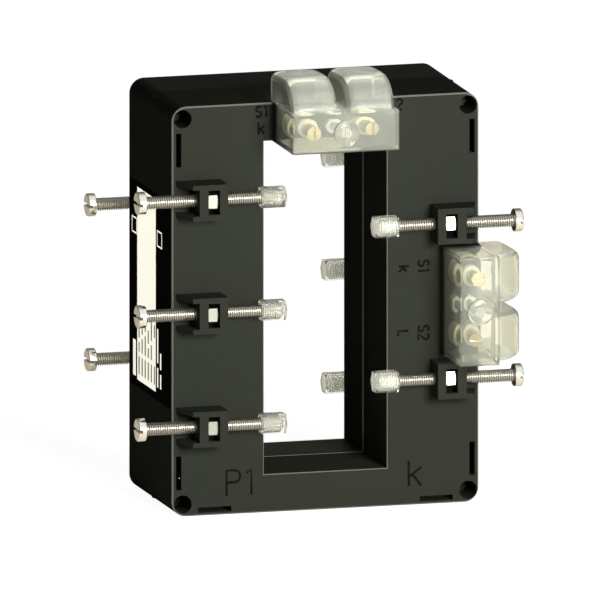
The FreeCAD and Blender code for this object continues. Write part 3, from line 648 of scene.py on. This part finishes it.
def seat_copy(piece, name, turn, x, y, z):
    """A copy of a piece, turned and put at a place in millimetres, z from the middle height."""
    copied = piece.copy()
    copied.data = piece.data.copy()
    copied.name = name
    scene.collection.objects.link(copied)
    select_only(copied)
    copied.rotation_euler = turn
    copied.location = Vector((x, y, MIDDLE_RISE + z)) * MM
    bpy.ops.object.transform_apply(location=True, rotation=True, scale=True)
    return copied


# The case would shade the two rear screws that the camera sees past it
rear_screws = []
for name, outwards, front, rise in CLAMPS:
    turn = TURNS[outwards, front]
    placed = seat_copy(screw, f"{name}_threaded_screw", turn, 0, -CLAMP_REACH * front, rise)
    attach(placed, f"{name}_screw")
    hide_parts(f"{name}_screw")
    if (outwards, front) == (-1, -1):
        rear_screws.append(placed)
bpy.data.objects.remove(screw)
rear_screw_light = soft_lamp("rear_screw_light", turn=15, rise=15, width=1.4, power=20.0)
shine_on("rear_left_screws", [rear_screw_light], rear_screws, unshaded=True)

# The clamp nuts
# Pressed M4 hexagon nuts of nickel plated steel, chamfered at both ends, one behind each
# bracket's window. Those at the right sit a little turned in their pockets.

NUT_START, NUT_END, NUT_CORNER, NUT_TILT = 35.6, 38.8, 7.0 / 3 ** 0.5, radians(10)
NUT_FACE_RADIUS, NUT_CHAMFER = 3.45, 0.34


def add_round(radius, start, end, corners=48):
    """A closed bar along X from start to end."""
    bpy.ops.object.select_all(action="DESELECT")
    middle = ((start + end) / 2 * MM, 0, 0)
    bpy.ops.mesh.primitive_cylinder_add(
        vertices=corners, radius=radius * MM, depth=(end - start) * MM, location=middle,
        rotation=(0, pi / 2, 0),
    )
    bpy.ops.object.transform_apply(location=True, rotation=True, scale=True)
    return bpy.context.object


nut = add_round(NUT_CORNER, NUT_START, NUT_END, corners=6)
nut.rotation_euler = (pi / 6, 0, 0)
bpy.ops.object.transform_apply(location=False, rotation=True, scale=False)
chamfered = turned(
    (NUT_START, 0), (NUT_START, NUT_FACE_RADIUS), (NUT_START + NUT_CHAMFER, NUT_CORNER + 0.02),
    (NUT_END - NUT_CHAMFER, NUT_CORNER + 0.02), (NUT_END, NUT_FACE_RADIUS), (NUT_END, 0),
)
apply(nut, "BOOLEAN", operation="INTERSECT", object=chamfered, solver="EXACT")
bpy.data.objects.remove(chamfered)
bore = add_round(CREST + 0.06, NUT_START - 1, NUT_END + 1)
apply(nut, "BOOLEAN", operation="DIFFERENCE", object=bore, solver="EXACT")
bpy.data.objects.remove(bore)
# The nuts' nickel is a darker copy of the screws' nickel, painted shade that dims their bright
# front flats
shaded_nut_plate = mottled(
    "shaded_nut_plate", (0.40, 0.42, 0.34), (0.45, 0.47, 0.39), (0.2, 0.3), cloud=500.0, grain=5000.0,
    metal=1.0,
)
nut.data.materials.append(shaded_nut_plate)
nuts = []
for name, outwards, front, rise in CLAMPS:
    turn = TURNS[outwards, front]
    tilt = -NUT_TILT if outwards > 0 else 0
    turn = (turn[0] + tilt, *turn[1:])
    nuts.append(seat_copy(nut, f"{name}_nut", turn, 0, -CLAMP_REACH * front, rise))
bpy.data.objects.remove(nut)
nuts = join(*nuts)
nuts.name = "bevelled_clamp_nuts"
smooth(nuts, angle=12)
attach(nuts, "case")
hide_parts("clamp_nuts")

# The clamp caps
# Clear hexagonal caps that turn freely on the screws' tips and press on the busbar. The
# thread and the fine rings in the bore show through the plastic.

CAP_END, CAP_MOUTH, CAP_ACROSS, CAP_FLOOR = 13.8, 21.5, 6.1, 1.6
BORE_RADIUS, GROOVE_RADIUS, GROOVE_COUNT = 2.1, 2.5, 8


def clear_plastic(name, colour, rough, through, bend=1.46, skin=0.0):
    """Clear plastic with a slight haze that lets lamps shine in, and a satin skin if asked."""
    material = mottled(
        name, colour, tuple(share * 0.97 for share in colour), rough, cloud=250.0, grain=1500.0,
        depth=0.01, bump=0.06,
    )
    surface = node_of(material, "BSDF_PRINCIPLED")
    surface.inputs["Transmission Weight"].default_value = through
    surface.inputs["IOR"].default_value = bend
    surface.inputs["Coat Weight"].default_value = skin
    surface.inputs["Coat Roughness"].default_value = 0.38
    made, links = material.node_tree.nodes, material.node_tree.links
    path = made.new("ShaderNodeLightPath")
    let_in = add_math(made, "MULTIPLY", 0.75)
    pass_on = made.new("ShaderNodeBsdfTransparent")
    lamp_mix = made.new("ShaderNodeMixShader")
    links.new(path.outputs["Is Shadow Ray"], let_in.inputs[0])
    links.new(let_in.outputs[0], lamp_mix.inputs["Fac"])
    links.new(surface.outputs[0], lamp_mix.inputs[1])
    links.new(pass_on.outputs[0], lamp_mix.inputs[2])
    links.new(lamp_mix.outputs[0], node_of(material, "OUTPUT_MATERIAL").inputs["Surface"])
    return material


def select_edges(piece, test):
    """In edit mode, with all else deselected, select the edges whose two ends pass the test."""
    bpy.ops.object.mode_set(mode="EDIT")
    bpy.ops.mesh.select_mode(type="EDGE")
    bpy.ops.mesh.select_all(action="DESELECT")
    bpy.ops.object.mode_set(mode="OBJECT")
    points = [vertex.co / MM for vertex in piece.data.vertices]
    for edge in piece.data.edges:
        edge.select = all(test(points[i]) for i in edge.vertices)
    bpy.ops.object.mode_set(mode="EDIT")


cap_clear = clear_plastic("clear_cap", (0.97, 0.98, 0.91), (0.01, 0.03), through=0.95)
cap_satin = clear_plastic("satin_cap_face", (0.92, 0.94, 0.85), (0.2, 0.3), through=0.62)
cap = add_round(CAP_ACROSS / 2 / cos(pi / 6), CAP_END, CAP_MOUTH, corners=6)
select_edges(cap, lambda point: point.x < CAP_END + 0.1)
bpy.ops.mesh.bevel(offset=0.5 * MM, segments=2)
bpy.ops.object.mode_set(mode="OBJECT")
select_edges(cap, lambda point: point.x > CAP_MOUTH - 0.1)
bpy.ops.mesh.bevel(offset=0.3 * MM, segments=2)
bpy.ops.object.mode_set(mode="OBJECT")
bore_start = CAP_END + CAP_FLOOR
grooves = [(bore_start - 0.9, 0), (bore_start, BORE_RADIUS)]
for groove in range(GROOVE_COUNT):
    start = bore_start + 0.25 + groove * PITCH
    grooves += [(start, BORE_RADIUS), (start + PITCH / 2, GROOVE_RADIUS)]
bore = turned(*grooves, (CAP_MOUTH + 1, BORE_RADIUS), (CAP_MOUTH + 1, 0), steps=40)
apply(cap, "BOOLEAN", operation="DIFFERENCE", object=bore, solver="EXACT")
bpy.data.objects.remove(bore)
smooth(cap, angle=28)
cap.data.materials.append(cap_clear)
cap.data.materials.append(cap_satin)
for face in cap.data.polygons:
    pressed = face.center.x < (CAP_END + 0.1) * MM
    ring = face.center.yz.length < (GROOVE_RADIUS - 0.05) * MM and face.normal.x > 0.3
    face.material_index = int(pressed or ring)
caps = []
for name, outwards, front, rise in CLAMPS:
    turn = TURNS[outwards, front]
    placed = seat_copy(cap, f"{name}_clear_cap", turn, 0, -CLAMP_REACH * front, rise)
    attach(placed, f"{name}_cap")
    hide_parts(f"{name}_cap")
    caps.append(placed)
bpy.data.objects.remove(cap)
cap_light = soft_lamp("cap_light", turn=-55, rise=12, width=0.4, power=7.0)
shine_on("clear_caps", [cap_light], caps, unshaded=True)

# The terminals
# A black base, cream insulating collars, slotted brass screws and a white hexagonal post
# for the sealing screw, under a clear moulded cover with a hood over each wire.

dress(black, "top_terminal_block", "side_terminal_block")

cream = mottled(
    "cream_collar", (0.66, 0.60, 0.45), (0.72, 0.66, 0.52), (0.35, 0.5), cloud=300.0
)
dress(cream, "top_s1_collar", "top_s2_collar", "side_s1_collar", "side_s2_collar")

white = mottled(
    "white_post", (0.70, 0.70, 0.64), (0.76, 0.76, 0.70), (0.3, 0.45), cloud=300.0
)
dress(white, "top_cover_post", "side_cover_post")


def smooth_copy(name, material):
    """A copy of a CAD node with its triangles joined, so that it shades smoothly where round."""
    piece = nodes[name].copy()
    piece.data = nodes[name].data.copy()
    piece.name = f"{name}_moulding"
    scene.collection.objects.link(piece)
    select_only(piece)
    bpy.ops.object.mode_set(mode="EDIT")
    bpy.ops.mesh.select_all(action="SELECT")
    bpy.ops.mesh.remove_doubles(threshold=0.001 * MM)
    bpy.ops.mesh.tris_convert_to_quads(face_threshold=radians(1), shape_threshold=pi)
    bpy.ops.object.mode_set(mode="OBJECT")
    smooth(piece, angle=30)
    piece.data.materials.clear()
    piece.data.materials.append(material)
    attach(piece, "case")
    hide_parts(name)
    return piece


cover_clear = clear_plastic(
    "clear_cover", (0.85, 0.88, 0.77), (0.08, 0.12), through=0.86, bend=1.15, skin=0.6
)
clear_pieces = [
    smooth_copy(f"{unit}_terminal_cover", cover_clear) for unit in ("top", "side")
]

# A sealing screw's domed head and the shank close behind it, measured out from the front face
SHANK_START, SHANK_END, SHANK_RADIUS = 5.2, 24.15, 1.55
SEAL_SEAT, SEAL_TOP, SEAL_RADIUS = 24.2, 25.65, 4.0
seal = turned(
    (SEAL_SEAT, 0), (SEAL_SEAT, SEAL_RADIUS), (SEAL_TOP - 0.9, SEAL_RADIUS),
    (SEAL_TOP - 0.5, SEAL_RADIUS - 0.15), (SEAL_TOP - 0.25, SEAL_RADIUS - 0.6),
    (SEAL_TOP - 0.1, SEAL_RADIUS - 1.5), (SEAL_TOP - 0.02, SEAL_RADIUS - 2.7), (SEAL_TOP, 0),
)
cut_slot(seal, SEAL_TOP, width=1.2, depth=0.8, reach=9.0)
seal_clear = clear_plastic("clear_sealing_screw", (0.93, 0.93, 0.86), (0.02, 0.04), through=0.95)
seal.data.materials.append(seal_clear)
shank = turned(
    (SHANK_START, 0), (SHANK_START, SHANK_RADIUS - 0.15), (SHANK_START + 0.2, SHANK_RADIUS),
    (SHANK_END, SHANK_RADIUS), (SHANK_END, 0),
)
shank_clear = clear_plastic("frosted_shank", (0.60, 0.62, 0.54), (0.3, 0.4), through=0.5)
shank.data.materials.append(shank_clear)
seal = join(seal, shank)
smooth(seal, angle=30)
for unit, x, z, turn in (("top", 0, 57.15, pi / 2), ("side", 41.8, 0, 0)):
    placed = seat_copy(seal, f"{unit}_sealing_screw", (turn, 0, -pi / 2), x, FRONT_FACE, z)
    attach(placed, "case")
    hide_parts(f"{unit}_cover_screw")
    clear_pieces.append(placed)
bpy.data.objects.remove(seal)

# Two lamps from above only put soft highlights on the clear hoods and screws
shine_on("clear_terminal_pieces", [
    soft_lamp("hood_highlight", turn=22, rise=52, width=0.6, power=5.0),
    soft_lamp("hood_rear_highlight", turn=140, rise=66, width=0.5, power=3.0),
], clear_pieces)

# The label
# A printed film, stuck on the left side across the seam, black with a pale field. The field is
# left bare, apart from plain dashes at its lower end.

film = mottled(
    "label_film", (0.012, 0.012, 0.011), (0.016, 0.016, 0.015), (0.25, 0.35), gleam=0.0
)
dress(film, "side_label")
pale = mottled("label_field", (0.78, 0.78, 0.68), (0.82, 0.82, 0.73), (0.35, 0.45))
FILM_FACE, INK_DEPTH = -48.2, 0.01
field_patches = [(-6.75, 14.35, 35.25, 94.45)]

# The table of dashes at the field's lower end, and frames and bars on the black beside it
COLUMN_COUNT, COLUMN_PITCH, DASH_REACH, DASH_GAP = 6, 3.5, 0.65, 1.4
FRAME_REACH, FRAME_RISE = 2.6, 2.3
dark_patches, pale_patches = [], []
for column in range(COLUMN_COUNT):
    across = 12.2 - column * COLUMN_PITCH
    low = 37.2
    for dash, length in enumerate((5.5, 3.0 + column % 3 * 1.5, 6.5 - column % 2 * 2.5)):
        if column < COLUMN_COUNT - 1 or dash != 1:
            dark_patches.append((across - DASH_REACH, across + DASH_REACH, low, low + length))
        low += length + DASH_GAP
for across, up in ((17.6, 82.2), (-11.0, 82.8)):
    for edge in (-1, 1):
        upright, level = across + edge * FRAME_REACH, up + edge * FRAME_RISE
        pale_patches.append((upright - 0.3, upright + 0.3, up - FRAME_RISE, up + FRAME_RISE))
        pale_patches.append((across - 2.9, across + 2.9, level - 0.25, level + 0.25))
pale_patches.append((15.9, 19.1, 36.0, 47.0))
for across, low, high in (
    (-9.0, 37.0, 43.0), (-9.0, 44.5, 55.0), (-12.4, 37.0, 41.5), (-12.4, 43.0, 48.0)
):
    pale_patches.append((across - 0.7, across + 0.7, low, high))


def print_on_film(name, patches, height, ink):
    """Flat rectangles of ink on the film, each by its front, rear, low and high edge."""
    printed = []
    for front, rear, low, high in patches:
        bpy.ops.object.select_all(action="DESELECT")
        middle = Vector((FILM_FACE - height, (front + rear) / 2, (low + high) / 2)) * MM
        bpy.ops.mesh.primitive_plane_add(size=1, location=middle, rotation=(0, -pi / 2, 0))
        patch = bpy.context.object
        patch.scale = ((high - low) * MM, (rear - front) * MM, 1)
        bpy.ops.object.transform_apply(location=True, rotation=True, scale=True)
        bpy.ops.object.mode_set(mode="EDIT")
        bpy.ops.mesh.select_all(action="SELECT")
        bpy.ops.mesh.extrude_region_move(TRANSFORM_OT_translate={"value": (INK_DEPTH * MM, 0, 0)})
        bpy.ops.object.mode_set(mode="OBJECT")
        printed.append(patch)
    whole = join(*printed)
    whole.name = name
    close_seams(whole)
    whole.data.materials.append(ink)
    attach(whole, "case")
    return whole


dark_ink = mottled("dark_ink", (0.05, 0.05, 0.045), (0.07, 0.07, 0.06), (0.35, 0.45))
field = print_on_film("label_pale_field", field_patches, 0.5 * INK_DEPTH, pale)
dashes = print_on_film("label_dark_dashes", dark_patches, 1.5 * INK_DEPTH, dark_ink)
frames = print_on_film("label_pale_frames", pale_patches, 0.5 * INK_DEPTH, pale)
label_light = soft_lamp("label_light", turn=-80, rise=12, width=0.3, power=12.0)
shine_on("label_pieces", [label_light], [field, frames, dashes])
